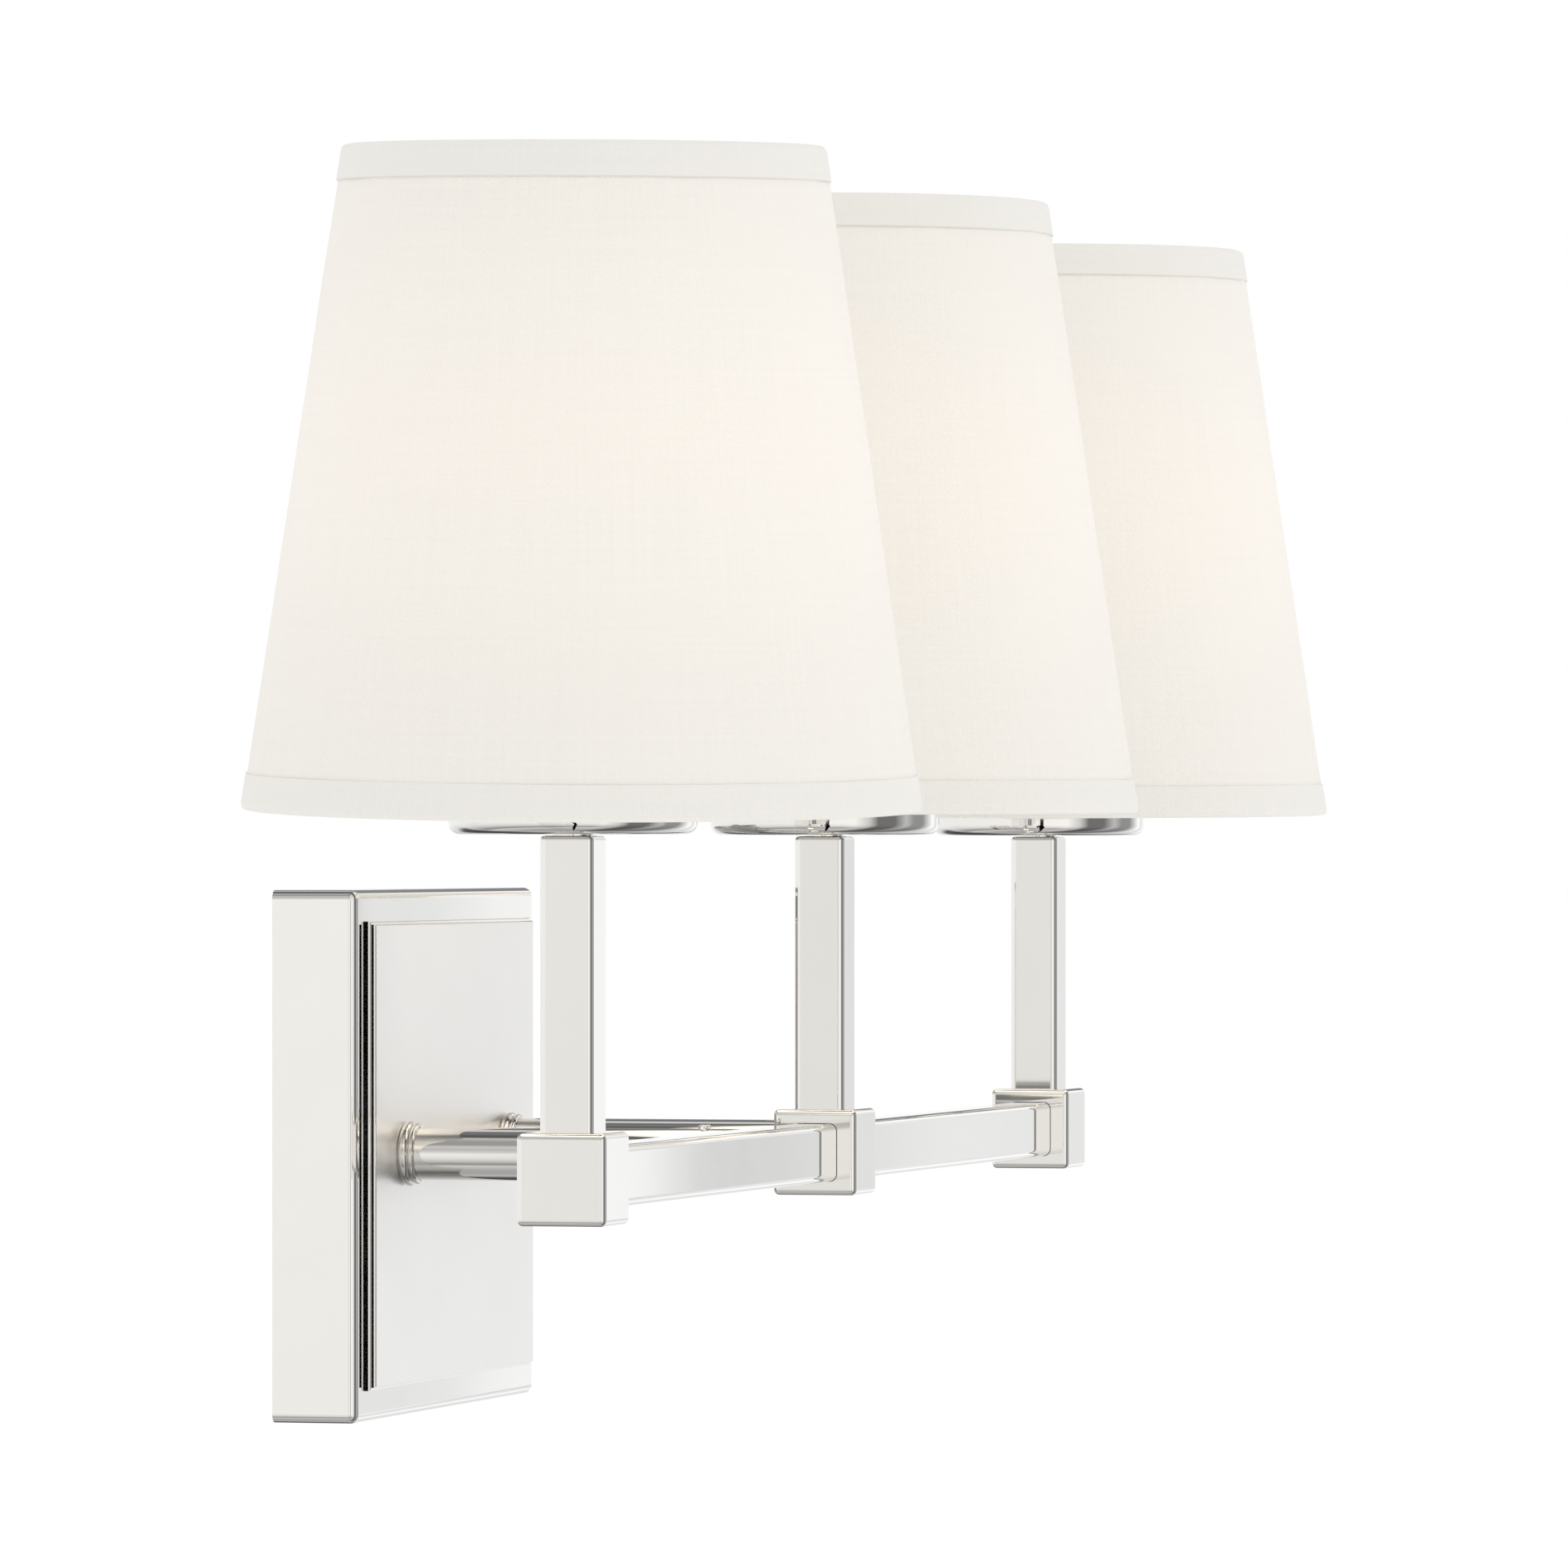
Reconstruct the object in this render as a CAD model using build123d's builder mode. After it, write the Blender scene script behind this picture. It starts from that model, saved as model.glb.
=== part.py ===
from build123d import *
import os
from math import cos, radians, sin

os.makedirs("parts", exist_ok=True)

# Three-light bath bar with fabric shades.
# Millimetres. The origin is the centre of the canopy's rear rim, on the wall.
# +X runs along the bar, +Y points into the wall and +Z is up.

# Layout of the bar and its three lights
light_spacing = 209.5
bar_reach = 108.6
bar_y = -bar_reach
light_x = {"left": -light_spacing, "centre": 0.0, "right": light_spacing}
fit_gap = 0.1

# Canopy and its raised panel
canopy_width = 142.8
canopy_height = 118.6
canopy_depth = 19.6
canopy_wall = 1.5
canopy_edge_radius = 2.0
panel_margin = 7.0
panel_step = 1.1
panel_inset = 0.7
panel_edge_radius = 0.5

# Wall bracket
strap_width = 20.0
strap_thickness = 2.0
tab_length = 14.0
tab_gap = 0.3
slot_radius = 2.4
wide_slot_spacing = 88.9
wide_slot_length = 10.0
narrow_slot_spacing = 69.85
narrow_slot_length = 6.0
side_screw_y = -9.5
side_screw_radius = 1.8
side_screw_head_radius = 3.2
side_screw_head_height = 1.4
side_screw_length = 7.0
cross_slot_length = 4.4
cross_slot_width = 0.8
cross_slot_depth = 0.7
ground_screw_z = -24.0
ground_screw_radius = 2.0
ground_head_radius = 4.6
ground_head_height = 2.0
ground_head_edge = 0.7
ground_slot_length = 6.0
ground_slot_width = 1.0

# Arms between the canopy and the bar
arm_x = {"left": -40.5, "right": 40.5}
arm_radius = 6.0
arm_bore = 4.9
arm_ring_gap = 0.05
arm_ring_radius = 7.35
arm_ring_edge = 0.6
arm_ring_bead_radius = 6.9
arm_ring_groove_radius = 6.5
arm_ring_groove = 2.2
arm_ring_length = 3.6
nipple_radius = 4.8
nipple_bore = 3.4
nipple_front = -40.0
nipple_rear = -12.0
washer_radius = 8.0
washer_thickness = 1.0
terminal_thickness = 0.8
terminal_tongue_width = 4.4
terminal_tongue_length = 9.0
terminal_tongue_z = -10.0
arm_nut_flats = 14.0
arm_nut_height = 3.5
stub_length = 19.0
stub_bore = 3.2
set_screw_radius = 1.4
set_screw_setback = 12.0
set_screw_top = 6.9
set_screw_edge = 0.35
set_screw_socket_radius = 0.65
set_screw_socket_depth = 0.9

# Bar, blocks and posts
bar_height = 13.0
bar_width = 10.5
bar_corner = 1.7
bar_wall = 1.2
block_size = 19.3
block_edge_radius = 1.3
block_end_wall = 2.0
post_size = 11.6
post_corner = 1.5
post_top_edge = 0.9
post_wall = 1.0
post_top = 71.3
post_cap = 1.5
pipe_radius = 4.0
pipe_bore = 2.6
pipe_bottom = 5.4
pipe_top = 82.0

# Cup and socket
cup_washer_thickness = 0.3
cup_radius = 25.9
cup_height = 12.4
cup_corner = 2.4
cup_wall = 1.0
cup_nut_flats = 13.0
cup_nut_height = 3.0
socket_base_radius = 15.0
socket_base_bottom = 76.0
socket_floor = 84.0
socket_flange_bottom = 86.0
socket_flange_radius = 19.6
socket_flange_top = 88.0
socket_barrel_radius = 17.0
socket_bore = 14.2
socket_top = 113.0
shell_radius = 13.9
shell_wall = 0.5
shell_setback = 3.0
shell_opening = 7.5
flange_edge = 0.5
barrel_edge = 0.8
contact_radius = 5.5
contact_thickness = 0.8
tongue_length = 7.0
tongue_width = 3.6
tongue_corner = 1.0
tongue_gap = 0.1

# Shade: outer radii include the hem bands
shade_bottom = 77.0
shade_top = 214.2
shade_bottom_radius = 70.85
shade_top_radius = 50.2
# How far each shade stands off its light towards the room, then how many degrees it leans
# towards the left end and towards the room: thin wire frames never sit quite true.
shade_offset = {"left": 1.9, "centre": 0.2, "right": -0.3}
shade_side_lean = {"left": 2.1, "centre": 0.5, "right": 0.8}
shade_front_lean = {"left": 0.8, "centre": 0.2, "right": 0.2}
shade_wall = 1.0
hem_width = 7.2
hem_thickness = 0.3
wire_radius = 1.2
wire_inset = 1.4
wire_gap = 0.05
fitter_radius = 22.5
fitter_bore = 17.3
fitter_bottom = 88.3
fitter_thickness = 1.5
spoke_radius = 1.1
spoke_overlap = 1.5
spoke_angles = (90, 210, 330)
clamp_ring_radius = 22.0
clamp_ring_gap = 0.3
clamp_ring_height = 6.0
clamp_ring_clearance = 0.07
clamp_ring_notches = 18
clamp_ring_notch_radius = 1.2
clamp_ring_notch_offset = 0.4

# Bulb
bulb_radius = 24.0
bulb_centre = 153.0
bulb_neck_radius = 12.4
bulb_neck_bottom = 110.0
bulb_glass_wall = 0.8
bulb_cap_radius = 13.0
bulb_cap_bottom = 92.0
bulb_cap_top = 111.5
bulb_tip_bottom = 88.0
bulb_shoulder_angle = -32.0
bulb_side_angle = 30.0
bulb_neck_length = 4.0
bulb_tip_radius = 2.5
bulb_tip_edge = 0.3
bulb_insulator_radius = 4.5
bulb_insulator_height = 1.5
thread_turns = 5
thread_depth = 1.2
cap_collar = 2.0
cap_collar_lip = 1.6
cap_collar_radius = 12.9
cap_gap = 0.05

# Leads
lead_radius = 0.9
lead_offset = 1.1
lead_bend = 3.4
lead_top = 83.6
lead_left_y = -5.6
lead_centre_y = -7.8
lead_right_y = (lead_left_y + lead_centre_y) / 2
wire_nut_x = -18.0
wire_nut_radius = 6.0
wire_nut_mouth = 18.0
wire_nut_length = 20.0
wire_nut_bore = 3.5
wire_nut_bore_share = 0.6
wire_nut_taper = 5.0
wire_nut_flutes = 10
wire_nut_flute_radius = 0.9
wire_nut_flute_offset = 0.3
right_lead_shift = 2.6
ground_lead_top = -9.5
ground_lead_end = -4.0

front_y = -canopy_depth - 2 * panel_step
bar_back_y = bar_y + bar_width / 2
cup_bottom = post_top + cup_washer_thickness
cup_floor = cup_bottom + cup_wall


def wall_plane(x, y, z=0.0):
    """A plane parallel to the wall whose normal points into the room."""
    return Plane(origin=(x, y, z), x_dir=(1, 0, 0), z_dir=(0, -1, 0))


def level_plane(x, z):
    """A level plane on a light's vertical axis."""
    return Plane(origin=(x, bar_y, z))


def light_section(x):
    """An upright plane through a light's axis: local x is the radius, local y the height."""
    return Plane(origin=(x, bar_y, 0), x_dir=(1, 0, 0), z_dir=(0, -1, 0))


def light_axis(x):
    """The vertical axis that a light's round pieces turn about."""
    return Axis((x, bar_y, 0), (0, 0, 1))


def shade_rim(name):
    """The plane of a shade's bottom rim, a little off its light's axis and a little out of level."""
    middle = (light_x[name], bar_y - shade_offset[name], shade_bottom)
    return Plane(origin=middle).rotated((shade_front_lean[name], -shade_side_lean[name], 0))


def shade_section(name):
    """A plane through a shade's own axis: local x is the radius, local y the height."""
    rim = shade_rim(name)
    return Plane(origin=rim.origin - rim.z_dir * shade_bottom, x_dir=rim.x_dir, z_dir=-rim.y_dir)


def shade_axis(name):
    """The axis that a shade's cover, hems and wire rings are round about."""
    rim = shade_rim(name)
    return Axis(rim.origin, rim.z_dir)


def shade_radius(z):
    """Outer radius of the fabric under the hem bands at a height."""
    share = (z - shade_bottom) / (shade_top - shade_bottom)
    return shade_bottom_radius + (shade_top_radius - shade_bottom_radius) * share - hem_thickness


# ---------------------------------------------------------------- canopy

with BuildPart() as canopy_shell:
    with BuildSketch(Plane.XZ):
        Rectangle(canopy_width, canopy_height)
    extrude(amount=canopy_depth)
    fillet(canopy_shell.edges().filter_by(Axis.Y), canopy_edge_radius)
    fillet(canopy_shell.faces().sort_by(Axis.Y)[0].edges(), canopy_edge_radius)
    with BuildSketch(Plane.XZ):
        Rectangle(canopy_width - 2 * canopy_wall, canopy_height - 2 * canopy_wall)
    extrude(amount=canopy_depth - canopy_wall, mode=Mode.SUBTRACT)
    with BuildSketch(Plane.XZ):
        with Locations(*[(x, 0) for x in arm_x.values()]):
            Circle(nipple_radius + fit_gap)
    extrude(amount=canopy_depth, mode=Mode.SUBTRACT)
    for side in (1, -1):
        hole_radius = side_screw_radius + fit_gap
        sink_radius = side_screw_head_radius + fit_gap
        with Locations(Plane(origin=(0, side_screw_y, side * canopy_height / 2), z_dir=(0, 0, side))):
            CounterSinkHole(hole_radius, sink_radius, canopy_wall * 2)
canopy_shell.part.label = "canopy_shell"
export_step(canopy_shell.part, "parts/canopy_shell.step")

# The panel has two rounded steps, the front one slightly smaller.
with BuildPart() as canopy_panel:
    for step in range(2):
        inset = 2 * (panel_margin + step * panel_inset)
        with BuildSketch(wall_plane(0, -canopy_depth - step * panel_step)):
            Rectangle(canopy_width - inset, canopy_height - inset)
        extrude(amount=panel_step)
        fillet(canopy_panel.faces().sort_by(Axis.Y)[0].edges(), panel_edge_radius)
    with BuildSketch(wall_plane(0, -canopy_depth)):
        with Locations(*[(x, 0) for x in arm_x.values()]):
            Circle(nipple_radius + fit_gap)
    extrude(amount=2 * panel_step, mode=Mode.SUBTRACT)
canopy_panel.part.label = "canopy_panel"
export_step(canopy_panel.part, "parts/canopy_panel.step")

# A flat strap with its ends bent forward inside the canopy's top and bottom.
strap_half = canopy_height / 2 - canopy_wall - tab_gap
with BuildPart() as wall_bracket:
    with BuildSketch(Plane.YZ):
        with Locations((-strap_thickness / 2, 0)):
            Rectangle(strap_thickness, 2 * strap_half)
        with Locations((-tab_length / 2, strap_half - strap_thickness / 2)):
            Rectangle(tab_length, strap_thickness)
        with Locations((-tab_length / 2, -strap_half + strap_thickness / 2)):
            Rectangle(tab_length, strap_thickness)
    extrude(amount=strap_width / 2, both=True)
    bends = wall_bracket.edges().filter_by(Axis.X)
    fillet(bends.filter_by_position(Axis.Y, -0.01, 0.01), strap_thickness)
    with BuildSketch(Plane.XZ):
        with Locations((0, wide_slot_spacing / 2), (0, -wide_slot_spacing / 2)):
            SlotOverall(wide_slot_length, 2 * slot_radius, rotation=90)
        with Locations((0, narrow_slot_spacing / 2), (0, -narrow_slot_spacing / 2)):
            SlotOverall(narrow_slot_length, 2 * slot_radius, rotation=90)
        with Locations((0, ground_screw_z)):
            Circle(ground_screw_radius + fit_gap)
    extrude(amount=strap_thickness, mode=Mode.SUBTRACT)
    with BuildSketch(Plane.XY.offset(-strap_half)):
        with Locations((0, side_screw_y)):
            Circle(side_screw_radius + fit_gap)
    extrude(amount=2 * strap_half, mode=Mode.SUBTRACT)
wall_bracket.part.label = "wall_bracket"
export_step(wall_bracket.part, "parts/wall_bracket.step")

# Flush screws through the canopy's top and bottom into the bracket's tabs.
sunk = (Align.CENTER, Align.CENTER, Align.MAX)
with BuildPart() as canopy_screws:
    for side in (1, -1):
        top = Plane(origin=(0, side_screw_y, side * canopy_height / 2), z_dir=(0, 0, side))
        with Locations(top):
            Cone(side_screw_radius, side_screw_head_radius, side_screw_head_height, align=sunk)
            Cylinder(side_screw_radius, side_screw_length, align=sunk)
            Box(cross_slot_length, cross_slot_width, cross_slot_depth, align=sunk, mode=Mode.SUBTRACT)
            Box(cross_slot_width, cross_slot_length, cross_slot_depth, align=sunk, mode=Mode.SUBTRACT)
canopy_screws.part.label = "canopy_screws"
export_step(canopy_screws.part, "parts/canopy_screws.step")

# The head stands off the strap by the thickness of the ground lead.
ground_head_y = -strap_thickness - 2 * lead_radius - fit_gap
with BuildPart() as ground_screw:
    with BuildSketch(wall_plane(0, 0, ground_screw_z)):
        Circle(ground_screw_radius)
    extrude(amount=-ground_head_y)
    with BuildSketch(wall_plane(0, ground_head_y, ground_screw_z)):
        Circle(ground_head_radius)
    extrude(amount=ground_head_height)
    fillet(ground_screw.faces().sort_by(Axis.Y)[0].edges(), ground_head_edge)
    with BuildSketch(wall_plane(0, ground_head_y - ground_head_height / 2, ground_screw_z)):
        Rectangle(ground_slot_length, ground_slot_width)
    extrude(amount=ground_head_height / 2, mode=Mode.SUBTRACT)
ground_screw.part.label = "ground_screw"
export_step(ground_screw.part, "parts/ground_screw.step")

# ---------------------------------------------------------------- arms

for name, x in arm_x.items():
    with BuildPart() as arm:
        with BuildSketch(wall_plane(x, front_y)):
            Circle(arm_radius)
            Circle(arm_bore, mode=Mode.SUBTRACT)
        extrude(amount=front_y - bar_back_y)
        with BuildSketch(Plane(origin=(x, bar_back_y + set_screw_setback, 0))):
            Circle(set_screw_radius + fit_gap)
        extrude(amount=arm_radius, mode=Mode.SUBTRACT)
    arm.part.label = f"arm_{name}"
    export_step(arm.part, f"parts/arm_{name}.step")

    # A turned ring: a round bead against the panel, a groove, and a smaller bead.
    with BuildPart() as arm_ring:
        with BuildSketch(Plane(origin=(x, front_y, 0), x_dir=(1, 0, 0), z_dir=(0, 0, 1))):
            inner = arm_radius + arm_ring_gap
            lip = inner + arm_ring_gap
            edge = (arm_ring_radius - arm_ring_edge, 0)
            crown = (arm_ring_radius, -arm_ring_groove / 2)
            groove = (arm_ring_groove_radius, -arm_ring_groove)
            bead_crown = (arm_ring_bead_radius, -(arm_ring_groove + arm_ring_length) / 2)
            with BuildLine():
                Line((inner, 0), edge)
                ThreePointArc(edge, crown, groove)
                ThreePointArc(groove, bead_crown, (lip, -arm_ring_length))
                Line((lip, -arm_ring_length), (inner, -arm_ring_length))
                Line((inner, -arm_ring_length), (inner, 0))
            make_face()
        revolve(axis=Axis((x, 0, 0), (0, 1, 0)))
    arm_ring.part.label = f"arm_ring_{name}"
    export_step(arm_ring.part, f"parts/arm_ring_{name}.step")

# Threaded tubes that hold the arms to the canopy from inside.
with BuildPart() as arm_nipples:
    with BuildSketch(wall_plane(0, nipple_rear)):
        with Locations(*[(x, 0) for x in arm_x.values()]):
            Circle(nipple_radius)
            Circle(nipple_bore, mode=Mode.SUBTRACT)
    extrude(amount=nipple_rear - nipple_front)
arm_nipples.part.label = "arm_nipples"
export_step(arm_nipples.part, "parts/arm_nipples.step")

inner_front_y = -canopy_depth + canopy_wall
washer_rear_y = inner_front_y + washer_thickness
with BuildPart() as arm_washers:
    with BuildSketch(wall_plane(0, washer_rear_y)):
        with Locations(*[(x, 0) for x in arm_x.values()]):
            Circle(washer_radius)
            Circle(nipple_radius + fit_gap, mode=Mode.SUBTRACT)
    extrude(amount=washer_thickness)
arm_washers.part.label = "arm_washers"
export_step(arm_washers.part, "parts/arm_washers.step")

# The right-hand nut also holds the ground terminal.
terminal_rear_y = washer_rear_y + terminal_thickness
with BuildPart() as arm_nuts:
    for x, face_y in ((arm_x["left"], washer_rear_y), (arm_x["right"], terminal_rear_y)):
        with BuildSketch(wall_plane(x, face_y + arm_nut_height)):
            RegularPolygon(arm_nut_flats / 2, 6, major_radius=False)
            Circle(nipple_radius + fit_gap, mode=Mode.SUBTRACT)
        extrude(amount=arm_nut_height)
arm_nuts.part.label = "arm_nuts"
export_step(arm_nuts.part, "parts/arm_nuts.step")

with BuildPart() as ground_terminal:
    with BuildSketch(wall_plane(arm_x["right"], terminal_rear_y)):
        Circle(washer_radius)
        with Locations((0, terminal_tongue_z)):
            Rectangle(terminal_tongue_width, terminal_tongue_length)
        Circle(nipple_radius + fit_gap, mode=Mode.SUBTRACT)
    extrude(amount=terminal_thickness)
ground_terminal.part.label = "ground_terminal"
export_step(ground_terminal.part, "parts/ground_terminal.step")

# Short spigots on the back of the bar that the arms slide over.
with BuildPart() as arm_stubs:
    with BuildSketch(wall_plane(0, bar_back_y + stub_length)):
        with Locations(*[(x, 0) for x in arm_x.values()]):
            Circle(arm_bore - fit_gap)
            Circle(stub_bore, mode=Mode.SUBTRACT)
    extrude(amount=stub_length)
arm_stubs.part.label = "arm_stubs"
export_step(arm_stubs.part, "parts/arm_stubs.step")

with BuildPart() as arm_set_screws:
    with BuildSketch(Plane(origin=(0, bar_back_y + set_screw_setback, arm_bore))):
        with Locations(*[(x, 0) for x in arm_x.values()]):
            Circle(set_screw_radius)
    extrude(amount=set_screw_top - arm_bore)
    fillet(arm_set_screws.faces().filter_by(Axis.Z).group_by(Axis.Z)[-1].edges(), set_screw_edge)
    with BuildSketch(Plane(origin=(0, bar_back_y + set_screw_setback, set_screw_top))):
        with Locations(*[(x, 0) for x in arm_x.values()]):
            RegularPolygon(set_screw_socket_radius, 6)
    extrude(amount=-set_screw_socket_depth, mode=Mode.SUBTRACT)
arm_set_screws.part.label = "arm_set_screws"
export_step(arm_set_screws.part, "parts/arm_set_screws.step")

# ---------------------------------------------------------------- bar, blocks and posts

bar_half_length = light_spacing + block_size / 2 - block_end_wall - fit_gap
with BuildPart() as bar_tube:
    with BuildSketch(Plane(origin=(0, bar_y, 0), x_dir=(0, 1, 0), z_dir=(1, 0, 0))):
        RectangleRounded(bar_width, bar_height, bar_corner)
        RectangleRounded(
            bar_width - 2 * bar_wall,
            bar_height - 2 * bar_wall,
            bar_corner - bar_wall,
            mode=Mode.SUBTRACT,
        )
    extrude(amount=bar_half_length, both=True)
    with BuildSketch(Plane.XY):
        with Locations(*[(x, bar_y) for x in light_x.values()]):
            Circle(pipe_radius + fit_gap)
    extrude(amount=bar_height, mode=Mode.SUBTRACT)
    with BuildSketch(wall_plane(0, bar_y + bar_width)):
        with Locations(*[(x, 0) for x in arm_x.values()]):
            Circle(stub_bore)
    extrude(amount=bar_width, mode=Mode.SUBTRACT)
bar_tube.part.label = "bar_tube"
export_step(bar_tube.part, "parts/bar_tube.step")

# Cube blocks: the middle one is open on both sides, the end ones are closed outside.
for name, x in light_x.items():
    outward = (x > 0) - (x < 0)
    pocket_shift = -outward * block_end_wall
    with BuildPart() as block:
        with BuildSketch(level_plane(x, -block_size / 2)):
            Rectangle(block_size, block_size)
        extrude(amount=block_size)
        fillet(block.edges(), block_edge_radius)
        pocket = Plane(origin=(x + pocket_shift, bar_y, 0), x_dir=(0, 1, 0), z_dir=(1, 0, 0))
        with BuildSketch(pocket):
            RectangleRounded(bar_width + 2 * fit_gap, bar_height + 2 * fit_gap, bar_corner + fit_gap)
        extrude(amount=block_size / 2, both=True, mode=Mode.SUBTRACT)
        with BuildSketch(level_plane(x, 0)):
            Circle(pipe_radius + fit_gap)
        extrude(amount=block_size, mode=Mode.SUBTRACT)
    block.part.label = f"block_{name}"
    export_step(block.part, f"parts/block_{name}.step")

for name, x in light_x.items():
    with BuildPart() as post:
        with BuildSketch(level_plane(x, block_size / 2)):
            RectangleRounded(post_size, post_size, post_corner)
        extrude(amount=post_top - block_size / 2)
        fillet(post.faces().sort_by(Axis.Z)[-1].edges(), post_top_edge)
        with BuildSketch(level_plane(x, block_size / 2)):
            Rectangle(post_size - 2 * post_wall, post_size - 2 * post_wall)
        extrude(amount=post_top - post_cap - block_size / 2, mode=Mode.SUBTRACT)
        with BuildSketch(level_plane(x, block_size / 2)):
            Circle(pipe_radius + fit_gap)
        extrude(amount=post_top, mode=Mode.SUBTRACT)
    post.part.label = f"post_{name}"
    export_step(post.part, f"parts/post_{name}.step")

# Threaded pipes clamp each socket, cup, post and block to the bar.
with BuildPart() as threaded_pipes:
    with BuildSketch(Plane.XY.offset(pipe_bottom)):
        with Locations(*[(x, bar_y) for x in light_x.values()]):
            Circle(pipe_radius)
            Circle(pipe_bore, mode=Mode.SUBTRACT)
    extrude(amount=pipe_top - pipe_bottom)
threaded_pipes.part.label = "threaded_pipes"
export_step(threaded_pipes.part, "parts/threaded_pipes.step")

with BuildPart() as cup_washers:
    with BuildSketch(Plane.XY.offset(post_top)):
        with Locations(*[(x, bar_y) for x in light_x.values()]):
            Circle(post_size / 2 - post_corner)
            Circle(pipe_radius + fit_gap, mode=Mode.SUBTRACT)
    extrude(amount=cup_washer_thickness)
cup_washers.part.label = "cup_washers"
export_step(cup_washers.part, "parts/cup_washers.step")

# ---------------------------------------------------------------- cups and sockets

with BuildPart() as cup_nuts:
    with BuildSketch(Plane.XY.offset(cup_floor)):
        with Locations(*[(x, bar_y) for x in light_x.values()]):
            RegularPolygon(cup_nut_flats / 2, 6, major_radius=False)
            Circle(pipe_radius + fit_gap, mode=Mode.SUBTRACT)
    extrude(amount=cup_nut_height)
cup_nuts.part.label = "cup_nuts"
export_step(cup_nuts.part, "parts/cup_nuts.step")


# A shallow polished dish with a rounded foot and a slightly rolled rim.
cup_rim = cup_bottom + cup_height
cup_inner = cup_radius - cup_wall
foot_outer = cup_corner * (1 - cos(radians(45)))
foot_inner = (cup_corner - cup_wall) * (1 - cos(radians(45)))
for name, x in light_x.items():
    with BuildPart() as cup:
        with BuildSketch(light_section(x)):
            with BuildLine():
                Line((pipe_radius + fit_gap, cup_bottom), (cup_radius - cup_corner, cup_bottom))
                ThreePointArc(
                    (cup_radius - cup_corner, cup_bottom),
                    (cup_radius - foot_outer, cup_bottom + foot_outer),
                    (cup_radius, cup_bottom + cup_corner),
                )
                Line((cup_radius, cup_bottom + cup_corner), (cup_radius, cup_rim - cup_wall / 2))
                ThreePointArc(
                    (cup_radius, cup_rim - cup_wall / 2),
                    (cup_radius - cup_wall / 2, cup_rim),
                    (cup_inner, cup_rim - cup_wall / 2),
                )
                Line((cup_inner, cup_rim - cup_wall / 2), (cup_inner, cup_bottom + cup_corner))
                ThreePointArc(
                    (cup_inner, cup_bottom + cup_corner),
                    (cup_inner - foot_inner, cup_floor + foot_inner),
                    (cup_radius - cup_corner, cup_floor),
                )
                Line((cup_radius - cup_corner, cup_floor), (pipe_radius + fit_gap, cup_floor))
                Line((pipe_radius + fit_gap, cup_floor), (pipe_radius + fit_gap, cup_bottom))
            make_face()
        revolve(axis=light_axis(x))
    cup.part.label = f"cup_{name}"
    export_step(cup.part, f"parts/cup_{name}.step")

# Moulded sockets: a base, a flange that the shade rests on, and a threaded barrel.
for name, x in light_x.items():
    with BuildPart() as socket_body:
        with BuildSketch(level_plane(x, socket_base_bottom)):
            Circle(socket_base_radius)
        extrude(amount=socket_flange_bottom - socket_base_bottom)
        with BuildSketch(level_plane(x, socket_flange_bottom)):
            Circle(socket_flange_radius)
        extrude(amount=socket_flange_top - socket_flange_bottom)
        fillet(socket_body.edges().filter_by(GeomType.CIRCLE).group_by(SortBy.RADIUS)[-1], flange_edge)
        with BuildSketch(level_plane(x, socket_flange_top)):
            Circle(socket_barrel_radius)
        extrude(amount=socket_top - socket_flange_top)
        chamfer(socket_body.faces().sort_by(Axis.Z)[-1].edges(), barrel_edge)
        with BuildSketch(level_plane(x, socket_floor)):
            Circle(socket_bore)
        extrude(amount=socket_top - socket_floor, mode=Mode.SUBTRACT)
        with BuildSketch(level_plane(x, socket_base_bottom)):
            Circle(pipe_radius + fit_gap)
        extrude(amount=socket_floor - socket_base_bottom, mode=Mode.SUBTRACT)
    socket_body.part.label = f"socket_body_{name}"
    export_step(socket_body.part, f"parts/socket_body_{name}.step")

    with BuildPart() as socket_shell:
        with BuildSketch(level_plane(x, socket_flange_bottom)):
            Circle(shell_radius)
            Circle(shell_opening, mode=Mode.SUBTRACT)
        extrude(amount=shell_wall)
        with BuildSketch(level_plane(x, socket_flange_bottom)):
            Circle(shell_radius)
            Circle(shell_radius - shell_wall, mode=Mode.SUBTRACT)
        extrude(amount=socket_top - socket_flange_bottom - shell_setback)
    socket_shell.part.label = f"socket_shell_{name}"
    export_step(socket_shell.part, f"parts/socket_shell_{name}.step")

# Sprung centre contacts: a disc on the socket's floor with a raised tongue.
with BuildPart() as socket_contacts:
    with BuildSketch(Plane.XY.offset(socket_floor)):
        with Locations(*[(x, bar_y) for x in light_x.values()]):
            Circle(contact_radius)
    extrude(amount=contact_thickness)
    with BuildSketch(Plane.XY.offset(socket_floor + contact_thickness)):
        with Locations(*[(x, bar_y) for x in light_x.values()]):
            RectangleRounded(tongue_length, tongue_width, tongue_corner)
    extrude(amount=bulb_tip_bottom - tongue_gap - socket_floor - contact_thickness)
    fillet(socket_contacts.faces().filter_by(Axis.Z).group_by(Axis.Z)[-1].edges(), contact_thickness)
socket_contacts.part.label = "socket_contacts"
export_step(socket_contacts.part, "parts/socket_contacts.step")

# ---------------------------------------------------------------- shades

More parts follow.
